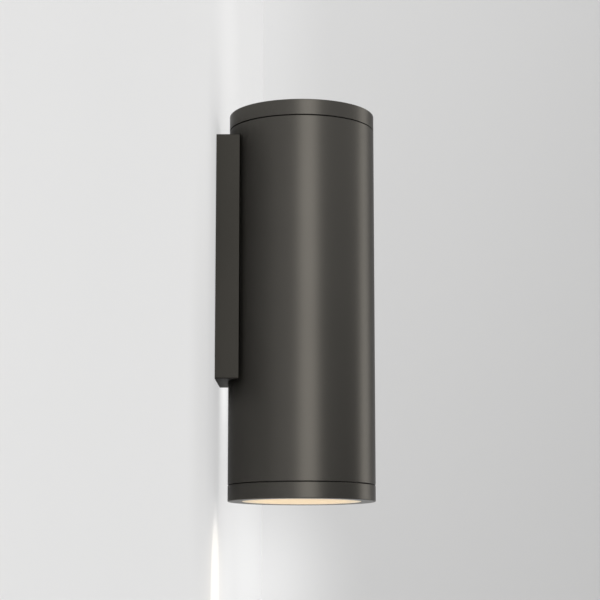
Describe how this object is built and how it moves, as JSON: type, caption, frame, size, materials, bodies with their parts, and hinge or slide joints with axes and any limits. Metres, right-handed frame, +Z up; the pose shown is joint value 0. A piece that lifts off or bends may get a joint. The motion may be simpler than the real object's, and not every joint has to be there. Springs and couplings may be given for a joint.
{
  "type": "wall light",
  "caption": "Round tube wall light that shines down, with a slim back box hung on a steel bracket, a screw-off top cap and a screw-off bezel round an opal glass.",
  "frame": {"origin": "middle of the wall bracket's rear face, which is the wall plane and the middle height of the back box", "axes": "+Y into the wall, -Y out into the room, +Z up, +X along the wall"},
  "size_m": [0.09, 0.0973, 0.24],
  "materials": {
    "graphite_metal": "satin graphite powder coat with a fine metallic flake",
    "zinc_steel": "bright zinc plated sheet steel",
    "screw_steel": "zinc plated screws",
    "black_screw": "black oxide grub screw",
    "black_rubber": "black rubber",
    "driver_plastic": "white flame retardant plastic",
    "terminal_plastic": "natural polyamide",
    "clamp_plastic": "black polyamide",
    "brass": "plain brass",
    "tinned_brass": "tinned brass",
    "brown_insulation": "brown lead insulation",
    "blue_insulation": "blue lead insulation",
    "green_yellow_insulation": "green and yellow striped lead insulation",
    "red_insulation": "red lead insulation",
    "black_insulation": "black lead insulation",
    "bare_aluminium": "bare extruded aluminium",
    "thermal_silicone": "grey thermal pad",
    "white_board": "white solder mask on an aluminium board",
    "led_phosphor": "yellow phosphor under clear resin",
    "white_plastic": "white reflector plastic",
    "opal_glass": "opal glass, satin outside",
    "clear_silicone": "translucent silicone"
  },
  "bodies": {
    "wall_mount": {"wall_bracket": "zinc_steel"},
    "luminaire": {"back_box": "graphite_metal", "locking_screw": "black_screw", "tube_body": "graphite_metal", "tube_screws": "screw_steel", "cable_bush": "black_rubber", "tray_spacers": "zinc_steel", "gear_tray": "zinc_steel", "tray_nuts": "screw_steel", "driver_case": "driver_plastic", "driver_cover": "driver_plastic", "driver_screws": "screw_steel", "terminal_block": "terminal_plastic", "terminal_screws": "brass", "terminal_block_screws": "screw_steel", "cord_clamp": "clamp_plastic", "cord_clamp_screws": "screw_steel", "earth_tag": "tinned_brass", "earth_screw": "brass", "lead_live": "brown_insulation", "lead_neutral": "blue_insulation", "lead_earth": "green_yellow_insulation", "led_lead_positive": "red_insulation", "led_lead_negative": "black_insulation", "heat_sink": "bare_aluminium", "heat_sink_screws": "screw_steel", "thermal_pad": "thermal_silicone", "led_board": "white_board", "led_chips": "led_phosphor", "board_screws": "screw_steel", "reflector": "white_plastic", "reflector_screws": "screw_steel"},
    "lens_pack": {"diffuser_glass": "opal_glass", "lens_gasket": "clear_silicone", "bezel_seal": "black_rubber"},
    "bezel": {"lower_bezel": "graphite_metal"},
    "cap_ring": {"cap_seal": "black_rubber"},
    "cap": {"top_cap": "graphite_metal"}
  },
  "joints": [
    {"name": "hang_lift", "type": "slide", "parent": "wall_mount", "child": "luminaire", "axis": [0, 0, 1], "range_m": [0, 0.008]},
    {"name": "bezel_travel", "type": "slide", "parent": "luminaire", "child": "lens_pack", "axis": [0, 0, -1], "range_m": [0, 0.00685]},
    {"name": "bezel_turn", "type": "hinge", "parent": "lens_pack", "child": "bezel", "pos_m": [0, -0.0523, -0.148], "axis": [0, 0, -1], "range_deg": [0, 1620]},
    {"name": "cap_travel", "type": "slide", "parent": "luminaire", "child": "cap_ring", "axis": [0, 0, 1], "range_m": [0, 0.00685]},
    {"name": "cap_turn", "type": "hinge", "parent": "cap_ring", "child": "cap", "pos_m": [0, -0.0523, 0.092], "axis": [0, 0, 1], "range_deg": [0, 1620]}
  ],
  "couplings": [
    {"joint": "bezel_travel", "follows": "bezel_turn", "m_per_rad": 0.00023873},
    {"joint": "cap_travel", "follows": "cap_turn", "m_per_rad": 0.00023873}
  ]
}
